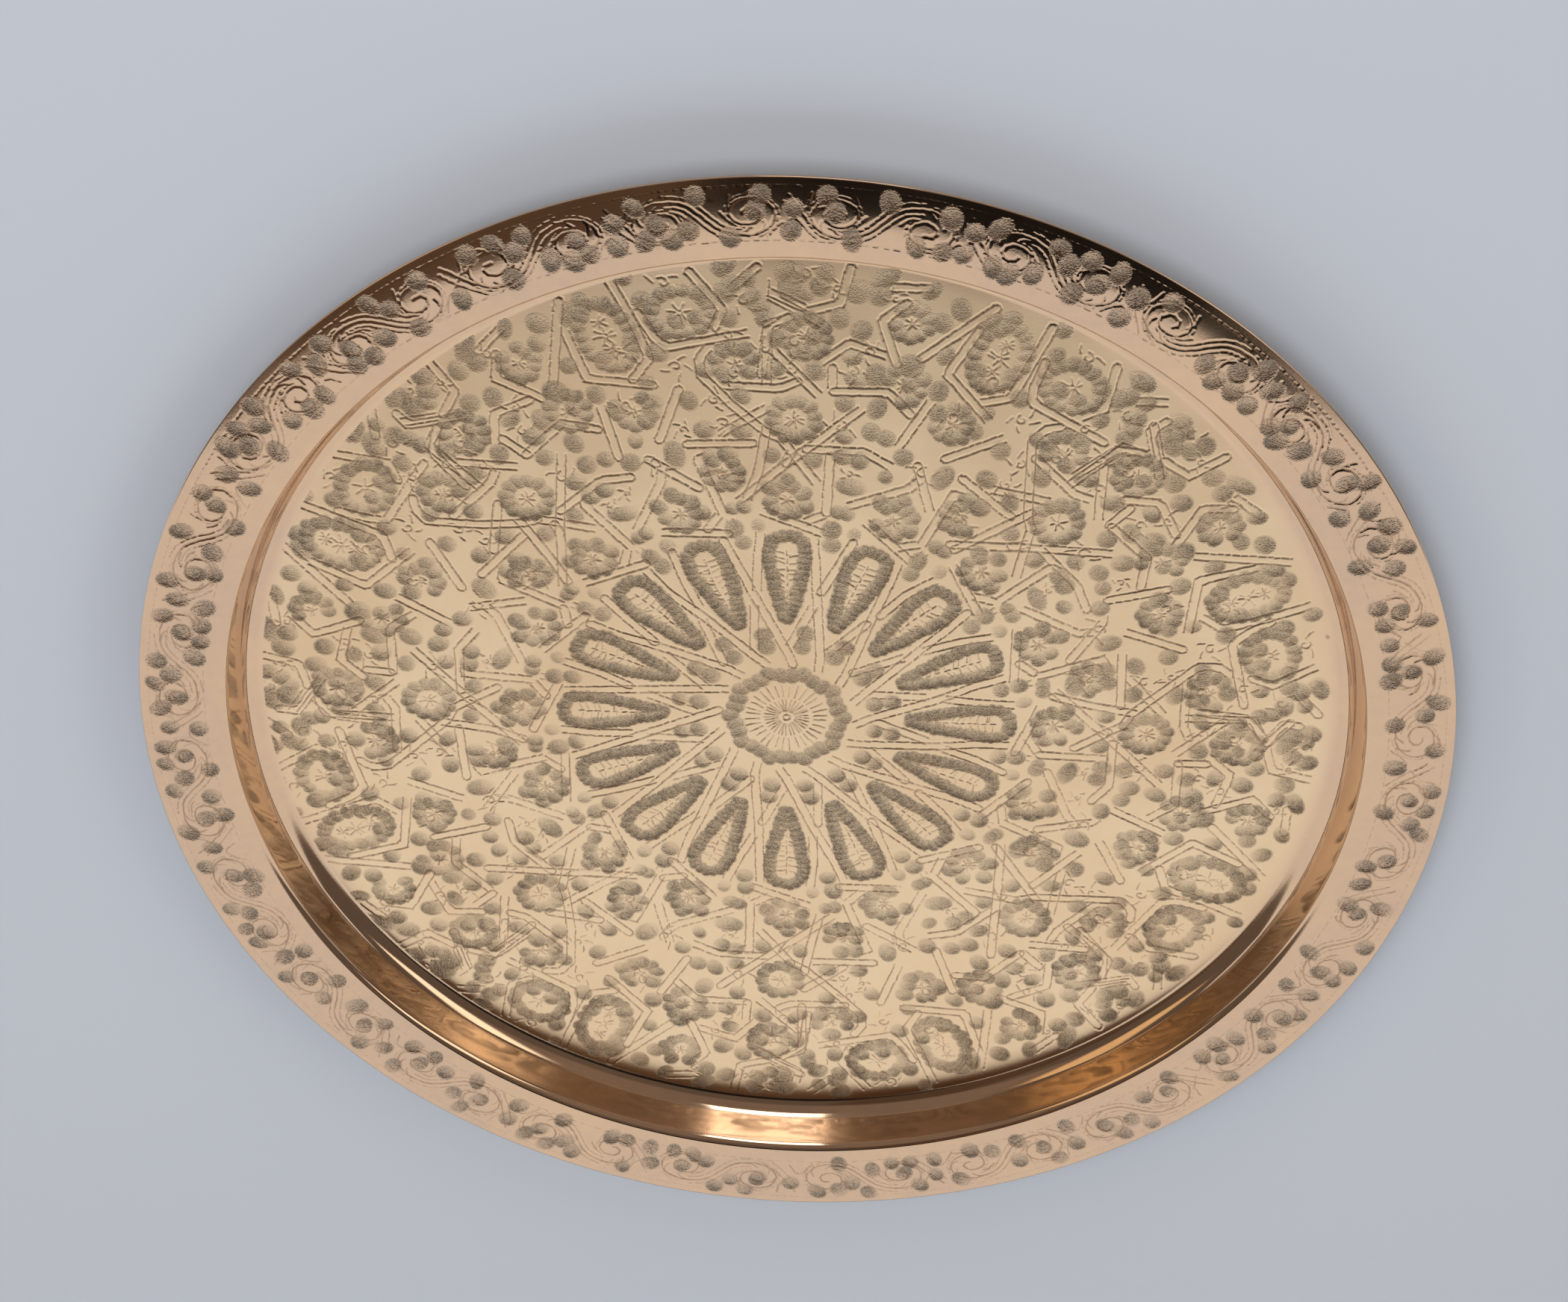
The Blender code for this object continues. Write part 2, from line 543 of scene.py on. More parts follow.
# Rings of punches round a blossom: centre, radii along and across, direction, number of blows.
SPOKE_WREATHS = (
    (410, 0, 26, 24, 0, 9),
)
OUTER_WREATHS = (
    (554, -10, 31, 30, 0, 12),
    (688, 259, 55, 35, 22, 19),
    (731, 152, 36, 42, 12, 16),
    (637, 386, 25, 23, 30, 10),
    (512, 472, 31, 28, 30, 12),
    (556, 318, 29, 26, 30, 10),
    (455, 92, 24, 22, 30, 9),
    (645, 75, 28, 26, 30, 10),
    (560, 222, 26, 24, 30, 10),
)
OPEN_WREATH = 0.030  # only rings shorter than this are left open
LONG_WREATH = 0.040  # rings longer than this hold three blossoms

# Small leaves and curls in the middle of the cells: centre, direction and size.
SPRIG_SCALE = 1.35
SPRIGS = (
    (452, 92, 12, 16),
    (470, 190, 20, 15),
    (545, 92, 60, 13),
    (570, 232, 200, 14),
    (585, 105, 30, 12),
    (632, 75, 90, 13),
    (640, -5, 300, 13),
    (688, -12, 0, 15),
    (695, 85, 20, 13),
    (640, 160, 60, 13),
    (655, 235, 100, 14),
    (755, 60, 30, 14),
    (780, 175, 40, 14),
    (440, 330, 40, 15),
    (520, 385, 30, 13),
    (585, 547, 60, 13),
    (600, 500, 20, 10),
    (650, 432, 300, 10),
    (560, 395, 320, 12),
    (455, 500, 40, 12),
)


def sprig(relief, centre, degrees, size):
    """A curl with a few short strokes, as fills the smaller cells."""
    turn = RNG.choice((-1.0, 1.0))
    heading = degrees + RNG.uniform(-40.0, 40.0)
    curl = spiral_path(centre, size * 0.55, size * 0.18, heading, 0.85 * turn, 12)
    chase(relief, curl, 0.005, -0.001, 0.85, FINE_WIDTH)
    for index in range(4):
        direction = heading + 60.0 + 75.0 * index + RNG.uniform(-15.0, 15.0)
        root = moved(centre, polar(size * RNG.uniform(0.65, 0.8), direction))
        bend = moved(centre, polar(size * 1.05, direction + 14.0 * turn))
        tip = moved(centre, polar(size * RNG.uniform(1.2, 1.5), direction + 24.0 * turn))
        chase(relief, curve_path([root, bend, tip], 4), 0.006, -0.001, RNG.uniform(0.6, 0.95), FINE_WIDTH)


def blossom(relief, centre, size):
    """Short strokes spreading from a point, as the veins of a small flower."""
    count = RNG.choice((6, 7, 8))
    first = RNG.uniform(0.0, 60.0)
    for index in range(count):
        direction = first + 360.0 * index / count + RNG.uniform(-10.0, 10.0)
        root = moved(centre, polar(size * RNG.uniform(0.20, 0.40), direction))
        tip = moved(centre, polar(size * RNG.uniform(0.70, 1.05), direction + RNG.uniform(-12.0, 12.0)))
        chase(relief, [root, tip], 0.008, 0.0, RNG.uniform(0.55, 0.95), FINE_WIDTH)
    chase(relief, arc_path(centre, size * 0.22, first, first + 250.0, 6), 0.004, -0.0005, 0.7, FINE_WIDTH)


def wreath(relief, centre, along, across, degrees, blows):
    """Ring of overlapping punches, heavier on one side and often left open, round a blossom."""
    opening = RNG.randrange(blows)
    open_blows = 0
    if along <= OPEN_WREATH:
        open_blows = RNG.choice((1, 2, 3))
    heaviest = RNG.uniform(0.0, 360.0)
    for index in range(blows):
        if (index - opening) % blows < open_blows:
            continue
        direction = 360.0 * (index + 0.3) / blows
        weight = 0.80 + 0.26 * math.cos(math.radians(direction - heaviest))
        circle = polar(1.0, direction)
        spot = moved(centre, turned((along * circle[0], across * circle[1]), degrees))
        relief.punch(
            shaken(spot, 0.001),
            RNG.uniform(0.022, 0.029),
            RNG.uniform(0.021, 0.026),
            direction + degrees + RNG.gauss(0.0, 25.0),
            weight * RNG.uniform(0.85, 1.15),
            0.30,
        )
    blossom(relief, centre, min(along, across) * 0.52)
    if along > LONG_WREATH:
        for share in (-0.45, 0.45):
            side = moved(centre, turned((along * share, 0.0), degrees))
            blossom(relief, side, across * 0.36)


def table_place(x, y):
    """A place from the tables, in shares of the rim radius."""
    return (x / THOUSANDTHS, y / THOUSANDTHS)


def table_punch(relief, spot, length, breadth, direction, degrees, strength):
    """One punch of the tables, on the spoke at an angle."""
    length, breadth = table_place(length, breadth)
    soft_punch(relief, placed([spot], degrees)[0], length, breadth, direction + degrees, strength)


def table_wreath(relief, row, degrees):
    """One wreath of the tables, on the spoke at an angle."""
    x, y, along, across, direction, blows = row
    along, across = table_place(along, across)
    wreath(relief, placed([table_place(x, y)], degrees)[0], along, across, direction + degrees, blows)


def spoke_pattern(relief, degrees):
    """What lies on one spoke and in the gap beside it."""
    petal(relief, degrees)
    for path in SPOKE_STRAPS:
        strap(relief, [polar(radius / THOUSANDTHS, angle) for radius, angle in path], degrees, 0.70, 0.25)
    for radius, angle, length, breadth, direction, strength in SPOKE_PUNCHES:
        spot = polar(radius / THOUSANDTHS, angle)
        table_punch(relief, spot, length, breadth, direction + angle, degrees, strength)
    blossom(relief, placed([(0.412, 0.0)], degrees)[0], 0.013)
    sprig(relief, placed([polar(0.470, 11.3)], degrees)[0], degrees, 0.011)
    for angle in (11.9, 13.4):
        tick = placed([polar(0.378, angle), polar(0.384, angle)], degrees)
        chase(relief, tick, 0.006, 0.0, 0.7, FINE_WIDTH)


def outer_pattern(relief, degrees):
    """What lies round every second spoke, in the outer half of the floor."""
    for path in OUTER_STRAPS:
        strap(relief, [table_place(x, y) for x, y in path], degrees, 0.30, 0.55)
    for x, y, length, breadth, direction, strength in OUTER_PUNCHES:
        table_punch(relief, table_place(x, y), length, breadth, direction, degrees, strength)
    for turn in (degrees, degrees + 360.0 / SPOKES):
        for row in SPOKE_WREATHS:
            table_wreath(relief, row, turn)
    for row in OUTER_WREATHS:
        table_wreath(relief, row, degrees)
    for x, y, direction, size in SPRIGS:
        centre = placed([table_place(x, y)], degrees)[0]
        sprig(relief, centre, direction + degrees, size / THOUSANDTHS * SPRIG_SCALE)


def floor_pattern(relief):
    """Everything struck on the floor of the tray."""
    centre_rosette(relief)
    for spoke in range(SPOKES):
        spoke_pattern(relief, spoke * 360.0 / SPOKES)
    for repeat in range(REPEATS):
        outer_pattern(relief, repeat * 360.0 / REPEATS)


FILL_START = 0.40
FILL_END = 0.80
FILL_STEP = 0.019  # outwards, from circle to circle
FILL_PITCH = 0.020  # round each circle
FILL_REACH = 0.013  # half width of the bare patch that a filling needs
BARE = 0.3  # the most that a bare patch is already marked


def fill_gaps(relief):
    """Small leaves and punches where the straps and cells leave bare metal."""
    radius = FILL_START
    while radius < FILL_END:
        count = int(2.0 * math.pi * radius / FILL_PITCH)
        for index in range(count):
            centre = moved(polar(radius, 360.0 * (index + RNG.random() * 0.5) / count), PATTERN_SHIFT)
            place = relief.window(centre[0], centre[1], FILL_REACH)[0]
            if relief.cut[place].max() > BARE or relief.matting[place].max() > BARE:
                continue
            if RNG.random() < 0.5:
                soft_punch(relief, centre, 0.024, 0.021, RNG.uniform(0.0, 360.0), 0.8)
            else:
                sprig(relief, centre, RNG.uniform(0.0, 360.0), RNG.uniform(0.010, 0.014))
        radius += FILL_STEP


# ---- border scrolls

BORDER_MIDDLE = 0.941
SCROLLS = 24
SCROLL_HALF = math.pi * BORDER_MIDDLE / SCROLLS / 2.0  # from a scroll's middle to its spiral
SPIRAL_STRETCH = 1.25
SCRIBED_OUTER = 0.9865
SCRIBED_INNER = 0.9015
SKIPPED_DOTS = 0.22
LEAVES = 6
BETWEEN_SCROLLS = 2.0  # dots this many scroll halves away aren't mirrored with the scroll
LEAF_OUTER = 0.037  # leaves are cut off at these distances from the middle
LEAF_INNER = -0.034

# Free strokes between two scrolls: along the border, in scroll halves, and outwards.
LINKS = (
    ((1.15, -0.034), (1.6, -0.012), (2.1, 0.033)),
    ((1.45, -0.036), (1.8, -0.014), (2.2, 0.022)),
    ((1.95, -0.030), (2.2, -0.010), (2.6, -0.036)),
    ((1.60, 0.036), (1.7, 0.014), (2.0, -0.004)),
)

# Matted dots of a scroll: scroll halves along the border, the rest of the way, and outwards.
DOTS = (
    (-1.0, -0.020, 0.031),
    (-1.0, 0.018, 0.033),
    (-0.30, 0.0, 0.012),
    (-1.0, -0.004, 0.004),
    (1.0, 0.003, -0.003),
    (0.35, 0.0, -0.020),
    (1.0, 0.022, -0.029),
    (1.0, -0.010, -0.033),
    (1.0, 0.026, 0.031),
    (2.0, 0.0, 0.012),
    (2.05, 0.0, -0.027),
    (0.05, 0.0, 0.033),
    (-0.6, 0.0, -0.032),
)


def on_border(along, outward, scroll):
    """Place on the border, from a distance along it and a distance outwards."""
    degrees = (scroll + 0.5) * 360.0 / SCROLLS + math.degrees(along / BORDER_MIDDLE)
    return polar(BORDER_MIDDLE + outward, degrees)


def wide_spiral(centre, first, turns):
    """Spiral of the border, a little longer than it is wide."""
    path = spiral_path((0.0, 0.0), 0.0350, 0.0060, first, turns, 36)
    return [(centre[0] + x * SPIRAL_STRETCH, centre[1] + y) for x, y in path]


def border_path(path, scroll, mirror):
    """A path of one scroll, bent round the border."""
    return [on_border(x * mirror, y, scroll) for x, y in path]


def scroll_lines(relief, scroll, mirror, left, right):
    """The two spirals of a scroll, the stem from one to the other, and the dashes beside them."""
    spiral = wide_spiral(left, -90.0, -RNG.uniform(1.5, 1.9))
    other = wide_spiral(right, 90.0, -RNG.uniform(1.5, 1.9))
    bends = [(-SCROLL_HALF * 0.35, -0.022), (SCROLL_HALF * 0.35, 0.022)]
    stem = curve_path([spiral[0], *bends, other[0]], 6)
    for path, gap in ((spiral, -0.001), (other, -0.001), (stem, 0.001)):
        chase(relief, border_path(path, scroll, mirror), 0.0095, gap, 1.0, BORDER_LINE_WIDTH)
    for gap in (0.0085, -0.0085):
        chase(relief, border_path(offset_path(stem, gap)[2:-2], scroll, mirror), 0.007, 0.003, 0.85)
    for path in (spiral, other):
        inner = offset_path(path[:22], 0.0052)
        chase(relief, border_path(inner, scroll, mirror), 0.006, 0.004, 0.7, FINE_WIDTH)


def scroll_leaves(relief, scroll, mirror, centre, first):
    """Short curved leaves round one spiral."""
    for index in range(LEAVES):
        direction = first + 360.0 / LEAVES * index + RNG.uniform(-14.0, 14.0)
        root = moved(centre, polar(0.024, direction))
        bend = moved(centre, polar(0.031, direction + 16.0))
        tip = moved(centre, polar(0.038, direction + 38.0))
        leaf = [(x, max(min(y, LEAF_OUTER), LEAF_INNER)) for x, y in curve_path([root, bend, tip], 4)]
        strength = RNG.uniform(0.6, 1.0)
        chase(relief, border_path(leaf, scroll, mirror), 0.007, -0.001, strength, LEAF_WIDTH)


def scroll_unit(relief, scroll):
    """One S scroll: two spirals, the stems between them, leaves and matted dots."""
    mirror = 1.0 if scroll % 2 == 0 else -1.0
    left = (-SCROLL_HALF, RNG.uniform(0.001, 0.005))
    right = (SCROLL_HALF, -RNG.uniform(0.001, 0.005))
    scroll_lines(relief, scroll, mirror, left, right)
    for link in LINKS:
        path = curve_path([(SCROLL_HALF * halves, outward) for halves, outward in link], 6)
        strength = RNG.uniform(0.7, 1.0)
        chase(relief, border_path(path, scroll, 1.0), 0.0075, 0.002, strength, LEAF_WIDTH)
    scroll_leaves(relief, scroll, mirror, left, -40.0)
    scroll_leaves(relief, scroll, mirror, right, -220.0)
    for halves, rest, outward in DOTS:
        if RNG.random() < SKIPPED_DOTS:
            continue
        side = 1.0 if halves >= BETWEEN_SCROLLS else mirror
        along = side * (SCROLL_HALF * halves + rest)
        spot = on_border(along + RNG.gauss(0.0, 0.003), outward + RNG.gauss(0.0, 0.002), scroll)
        heading = math.degrees(math.atan2(spot[1], spot[0]))
        relief.punch(
            spot,
            RNG.uniform(0.030, 0.041),
            RNG.uniform(0.026, 0.032),
            heading + RNG.uniform(-40.0, 40.0),
            RNG.uniform(0.95, 1.3),
            RNG.choice((-0.4, 0.4)),
        )


def border_pattern(relief):
    """Scrolls round the border, between two scribed lines."""
    for scroll in range(SCROLLS):
        scroll_unit(relief, scroll)
    chase(relief, arc_path((0.0, 0.0), SCRIBED_OUTER, 0.0, 360.0, 720), 0.006, 0.004, 0.55, HAIR_WIDTH)
    chase(relief, arc_path((0.0, 0.0), SCRIBED_INNER, 0.0, 360.0, 720), 0.009, 0.006, 0.6, FINE_WIDTH)


# ---- the mesh


def blurred(values, cells):
    """Values smoothed by two passes of a running mean each way."""
    result = values
    width = 2 * cells + 1
    for axis in (0, 1, 0, 1):
        pad = [(0, 0), (0, 0)]
        pad[axis] = (cells + 1, cells)
        total = np.cumsum(np.pad(result, pad, mode="edge"), axis=axis, dtype=np.float64)
        upper = np.take(total, range(width, total.shape[axis]), axis=axis)
        lower = np.take(total, range(0, total.shape[axis] - width), axis=axis)
        result = ((upper - lower) / width).astype(np.float32)
    return result


def section_at(length):
    """Radius, height and rise angle of the top face, by the distance along it."""
    cove = COVE_RADIUS * WALL_ANGLE
    cove_rise = COVE_RADIUS * (1.0 - math.cos(WALL_ANGLE))
    shoulder_rise = SHOULDER_RADIUS * (math.cos(CROWN_ANGLE) - math.cos(WALL_ANGLE))
    wall = (WELL_DEPTH - cove_rise - shoulder_rise) / math.sin(WALL_ANGLE)
    shoulder = SHOULDER_RADIUS * (WALL_ANGLE - CROWN_ANGLE)
    if length <= FLOOR_RADIUS:
        return length, SHEET_THICKNESS, 0.0
    length -= FLOOR_RADIUS
    radius = FLOOR_RADIUS
    height = SHEET_THICKNESS
    angle = min(length / COVE_RADIUS, WALL_ANGLE)
    radius += COVE_RADIUS * math.sin(angle)
    height += COVE_RADIUS * (1.0 - math.cos(angle))
    if length <= cove:
        return radius, height, angle
    length -= cove
    along = min(length, wall)
    radius += along * math.cos(WALL_ANGLE)
    height += along * math.sin(WALL_ANGLE)
    if length <= wall:
        return radius, height, WALL_ANGLE
    length -= wall
    angle = WALL_ANGLE - min(length, shoulder) / SHOULDER_RADIUS
    radius += SHOULDER_RADIUS * (math.sin(WALL_ANGLE) - math.sin(angle))
    height += SHOULDER_RADIUS * (math.cos(angle) - math.cos(WALL_ANGLE))
    if length <= shoulder:
        return radius, height, angle
    length -= shoulder
    crown = (RIM_RADIUS - radius) / (2.0 * math.sin(CROWN_ANGLE))
    angle = CROWN_ANGLE - length / crown
    height += crown * (math.cos(angle) - math.cos(CROWN_ANGLE))
    radius += crown * (math.sin(CROWN_ANGLE) - math.sin(angle))
    return radius, height, angle


def section_length():
    """Distance along the top face from the centre to the rim."""
    low = FLOOR_RADIUS
    high = 2.0 * RIM_RADIUS
    for _ in range(60):
        middle = (low + high) / 2.0
        if section_at(middle)[0] < RIM_RADIUS:
            low = middle
        else:
            high = middle
    return low


def top_lengths(coarse):
    """Where the rings of the top face lie, as distances along it."""
    end = section_length()
    lengths = []
    at = RING_GAP * coarse * 2.0
    while at < end - RING_GAP * coarse * 0.5:
        lengths.append(at)
        angle = section_at(at)[2]
        if abs(angle - WALL_ANGLE) < 1e-9:
            at += WALL_GAP * coarse
        elif angle > CROWN_ANGLE + 1e-6 or 0.0 < at - FLOOR_RADIUS < COVE_START:
            at += TURN_GAP * coarse
        else:
            at += RING_GAP * coarse
    lengths.append(end)
    return lengths


def top_segments(radius, segments):
    """Vertices on a ring of the top face: halved each time the ring is half as long."""
    count = segments
    reach = RIM_RADIUS / 2.0
    while radius < reach and count > TOP_FEWEST:
        count //= 2
        reach /= 2.0
    return count


class Rings:
    """Collects rings of vertices from the middle of the top face to the middle of the underside."""

    def __init__(self):
        self.points = []
        self.angles = []
        self.corners = []
        self.sizes = []
        self.last = None
        self.total = 0

    def fan(self, tip, start, count, outwards):
        """Triangles between a face's middle vertex and the ring round it."""
        index = np.arange(count)
        here = start + index
        following = start + (index + 1) % count
        middle = np.full(count, tip)
        order = [middle, here, following] if outwards else [here, middle, following]
        self.corners.append(np.stack(order, 1).ravel())
        self.sizes.append(np.full(count, 3))

    def pole(self, height):
        """The single vertex at the middle of a face."""
        self.points.append(np.array([[0.0, 0.0, height]]))
        self.angles.append(np.zeros(1))
        if self.last is not None:
            self.fan(self.total, self.last[0], self.last[1], False)
        self.last = (self.total, 1)
        self.total += 1

    def ring(self, radius, height, angle, count):
        """One more ring, joined to the last one."""
        start = self.total
        turn = 2.0 * np.pi * np.arange(count) / count
        ring = np.stack([radius * np.cos(turn), radius * np.sin(turn), np.full(count, height)], 1)
        self.points.append(ring)
        self.angles.append(np.full(count, angle))
        first, before = self.last
        if before == 1:
            self.fan(first, start, count, True)
        elif before == count:
            self.join_equal(first, start, count)
        elif before < count:
            self.join_double(first, before, start, True)
        else:
            self.join_double(start, count, first, False)
        self.last = (start, count)
        self.total += count

    def join_equal(self, first, start, count):
        """Quads between two rings with the same number of vertices."""
        index = np.arange(count)
        following = (index + 1) % count
        quads = np.stack([first + index, start + index, start + following, first + following], 1)
        self.corners.append(quads.ravel())
        self.sizes.append(np.full(count, 4))

    def join_double(self, few, count, many, outwards):
        """Triangles between a ring and one with twice as many vertices."""
        index = np.arange(count)
        here = few + index
        following = few + (index + 1) % count
        start = many + 2 * index
        middle = start + 1
        final = many + (2 * index + 2) % (2 * count)
        faces = [here, start, middle, here, middle, following, following, middle, final]
        faces = np.stack(faces, 1).reshape(-1, 3)
        if not outwards:
            faces = faces[:, ::-1]
        self.corners.append(faces.ravel())
        self.sizes.append(np.full(3 * count, 3))


def sheet_rings():
    """All rings of the sheet: the top face, the cut edge, and the underside back to the middle."""
    coarse = 1.0
    segments = RIM_SEGMENTS
    rings = Rings()
    rings.pole(SHEET_THICKNESS)
    for length in top_lengths(coarse):
        radius, height, angle = section_at(length)
        rings.ring(radius, height, angle, top_segments(radius, segments))
    top_total = rings.total
    end = section_length()
    radius, height, angle = section_at(end)
    for share in (0.25, 0.5, 0.75, 1.0):
        rings.ring(radius, height - SHEET_THICKNESS * share, angle, segments)
    flat = np.arange(UNDER_GAP, FLOOR_RADIUS - 0.002, UNDER_GAP)
    raised = [at for at in top_lengths(4.0 * coarse) if FLOOR_RADIUS - 0.001 < at < end - UNDER_EDGE]
    count = segments
    for length in reversed([*flat, *raised]):
        radius, height, angle = section_at(length)
        radius += SHEET_THICKNESS * math.sin(angle)
        height -= SHEET_THICKNESS * math.cos(angle)
        if count > UNDER_SEGMENTS or (radius < UNDER_MIDDLE and count > UNDER_FEWEST):
            count //= 2
        rings.ring(radius, height, angle, count)
    rings.pole(0.0)
    return rings, top_total


def sampled(raster, cell, x, y):
    """Raster values at places given in shares of the rim radius."""
    middle = raster.shape[0] / 2.0
    column = np.clip(x / cell + middle, 0, raster.shape[0] - 2)
    row = np.clip(y / cell + middle, 0, raster.shape[0] - 2)
    left = column.astype(np.int64)
    below = row.astype(np.int64)
    right = column - left
    above = row - below
    return (
        raster[below, left] * (1 - right) * (1 - above)
        + raster[below, left + 1] * right * (1 - above)
        + raster[below + 1, left] * (1 - right) * above
        + raster[below + 1, left + 1] * right * above
    )


def add_value(mesh, name, values):
    """One number for each vertex, which the material reads."""
    attribute = mesh.attributes.new(name, "FLOAT", "POINT")
    attribute.data.foreach_set("value", values.astype(np.float32))


def build_sheet(relief):
    """The sheet's mesh, with the marks cut into its top face."""
    rings, top_total = sheet_rings()
    points = np.concatenate(rings.points)
    angles = np.concatenate(rings.angles)
    corners = np.concatenate(rings.corners).astype(np.int32)
    sizes = np.concatenate(rings.sizes).astype(np.int32)
    top = np.arange(len(points)) < top_total

    x = points[:, 0] / RIM_RADIUS
    y = points[:, 1] / RIM_RADIUS
    away = np.hypot(x, y)
    rasters = (relief.cut, blurred(relief.cut, LIP_CELLS), relief.dent, relief.matting)
    cut, lip, dent, matting = [
        np.where(top, sampled(raster, relief.cell, x, y), 0.0) for raster in rasters
    ]
    plain = (away > ORNAMENT_EDGE) & (away < BORDER_EDGE)
    fade = np.where(plain, 0.0, 1.0) * np.clip((RIM_MARGIN - away) / RIM_FADE, 0.0, 1.0)
    depth = np.where(away > ORNAMENT_EDGE, BORDER_DEPTH_SHARE, 1.0)
    height = fade * depth * (LIP_SHARE * LINE_DEPTH * lip - LINE_DEPTH * cut - PUNCH_DEPTH * dent)
    height += np.where(top, hand_waves(x, y), 0.0)

    inward = -np.sin(angles) * height / np.maximum(np.hypot(points[:, 0], points[:, 1]), 1e-9)
    points[:, 0] += points[:, 0] * inward
    points[:, 1] += points[:, 1] * inward
    points[:, 2] += np.cos(angles) * height

    mesh = bpy.data.meshes.new("tray_visual")
    mesh.vertices.add(len(points))
    mesh.vertices.foreach_set("co", points.astype(np.float32).ravel())
    mesh.loops.add(len(corners))
    mesh.loops.foreach_set("vertex_index", corners)
    mesh.polygons.add(len(sizes))
    starts = np.concatenate([[0], np.cumsum(sizes)[:-1]]).astype(np.int32)
    mesh.polygons.foreach_set("loop_start", starts)
    mesh.polygons.foreach_set("use_smooth", np.ones(len(sizes), bool))
    mesh.update(calc_edges=True)
    add_value(mesh, "matting", matting * fade)
    add_value(mesh, "cut", cut * fade)
    return mesh


def hand_waves(x, y):
    """Slow unevenness of hand-worked metal, a few hundredths of a millimetre."""
    waves = np.zeros_like(x)
    for _ in range(WAVES):
        turn = RNG.uniform(0.0, 2.0 * math.pi)
        pitch = RNG.uniform(9.0, 26.0)
        start = RNG.uniform(0.0, 2.0 * math.pi)
        waves += np.sin((x * math.cos(turn) + y * math.sin(turn)) * pitch * 2.0 + start) / pitch
    return waves * WAVE_HEIGHT


# ---- materials


class Nodes:
    """Short calls for building a node tree."""

    def __init__(self, tree):
        self.tree = tree
        tree.nodes.clear()

    def add(self, kind, inputs=None, **settings):
        """A node with its properties set, and its inputs linked or set."""
        node = self.tree.nodes.new(kind)
        for name, value in settings.items():
            setattr(node, name, value)
        for name, value in (inputs or {}).items():
            if isinstance(value, bpy.types.NodeSocket):
                self.tree.links.new(value, node.inputs[name])
            else:
                node.inputs[name].default_value = value
        return node

    def maths(self, operation, first, second=0.0):
        """Result of one arithmetic step."""
        return self.add("ShaderNodeMath", {0: first, 1: second}, operation=operation).outputs[0]

    def ranged(self, value, low, high, to_low=0.0, to_high=1.0):
        """A value mapped from one range to another and kept inside it."""
        inputs = {"Value": value, "From Min": low, "From Max": high, "To Min": to_low, "To Max": to_high}
        return self.add("ShaderNodeMapRange", inputs).outputs[0]

    def mixed(self, factor, first, second):
        """Two colours mixed."""
        inputs = {0: factor, 6: first, 7: second}
        return self.add("ShaderNodeMix", inputs, data_type="RGBA").outputs[2]

    def noise(self, vector, scale, detail=2.0, roughness=0.5):
        """Noise value at a scale."""
        inputs = {"Vector": vector, "Scale": scale, "Detail": detail, "Roughness": roughness}
        return self.add("ShaderNodeTexNoise", inputs).outputs[0]

    def attribute(self, name):
        """A vertex value of the mesh."""
        return self.add("ShaderNodeAttribute", attribute_name=name).outputs["Fac"]


GOLD_COPPER = (0.81, 0.625, 0.415, 1.0)
PINK_COPPER = (0.58, 0.42, 0.305, 1.0)
WARM_COPPER = (0.80, 0.54, 0.32, 1.0)
MATTED_COPPER = (0.235, 0.195, 0.152, 1.0)
LINE_COPPER = (0.31, 0.200, 0.130, 1.0)
STAIN_COPPER = (0.22, 0.11, 0.06, 1.0)
FLOOR_ROUGHNESS = 0.22
BORDER_ROUGHNESS = 0.06
MATTING_ROUGHNESS = 0.26  # added where the punches matted the metal
MATTING_PITCH = 0.00054  # metres between the points of the matting punch
MATTING_RELIEF = 0.00010  # metres, and the grain's below
GRAIN_RELIEF = 0.00004


def new_material(name):
    """An empty material, with short calls for its nodes."""
    material = bpy.data.materials.new(name)
    material.use_nodes = True
    return material, Nodes(material.node_tree)


